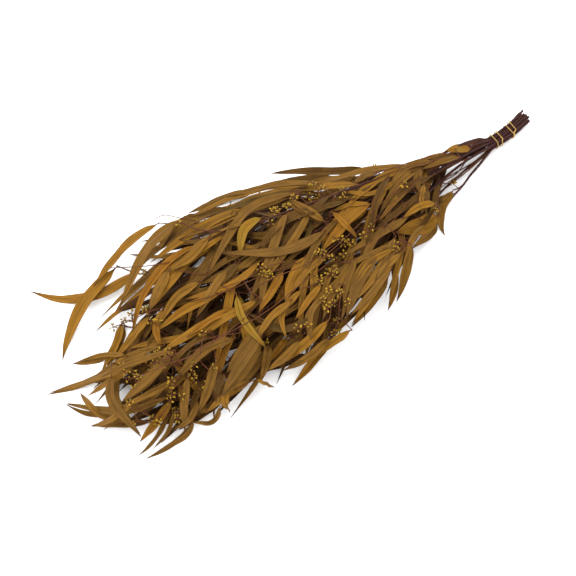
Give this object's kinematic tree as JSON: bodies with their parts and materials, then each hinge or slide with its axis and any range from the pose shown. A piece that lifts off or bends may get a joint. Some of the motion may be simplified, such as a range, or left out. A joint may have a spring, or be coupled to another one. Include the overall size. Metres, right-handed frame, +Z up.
{
  "type": "bunch_of_dried_eucalyptus",
  "caption": "Bunch of dried long-leaved eucalyptus stems with small bud clusters, held near the cut ends by a rubber band and lying down",
  "frame": {"origin": "middle of the underside of the box round the bunch, on the surface that it lies on", "axes": "+X along the bunch towards the cut stem ends, +Y across it, +Z up from the surface"},
  "size_m": [0.656, 0.257, 0.0775],
  "materials": {
    "dried_leaf": "dry, leathery leaf, dull with a faint sheen, ochre to olive brown",
    "dried_stem": "thin dark purple-brown bark, slightly ridged",
    "dried_bud": "smooth dull yellow-green bud",
    "band": "stretched natural rubber, satin"
  },
  "bodies": {
    "root": {"leafy_stem_01": "dried_leaf", "leafy_stem_02": "dried_leaf", "leafy_stem_03": "dried_leaf", "leafy_stem_04": "dried_leaf", "leafy_stem_05": "dried_leaf", "leafy_stem_06": "dried_leaf", "leafy_stem_07": "dried_leaf", "leafy_stem_08": "dried_leaf", "leafy_stem_09": "dried_leaf", "leafy_stem_10": "dried_leaf", "leafy_stem_11": "dried_leaf", "leafy_stem_12": "dried_leaf", "leafy_stem_13": "dried_leaf", "rubber_band": "band"}
  },
  "joints": []
}
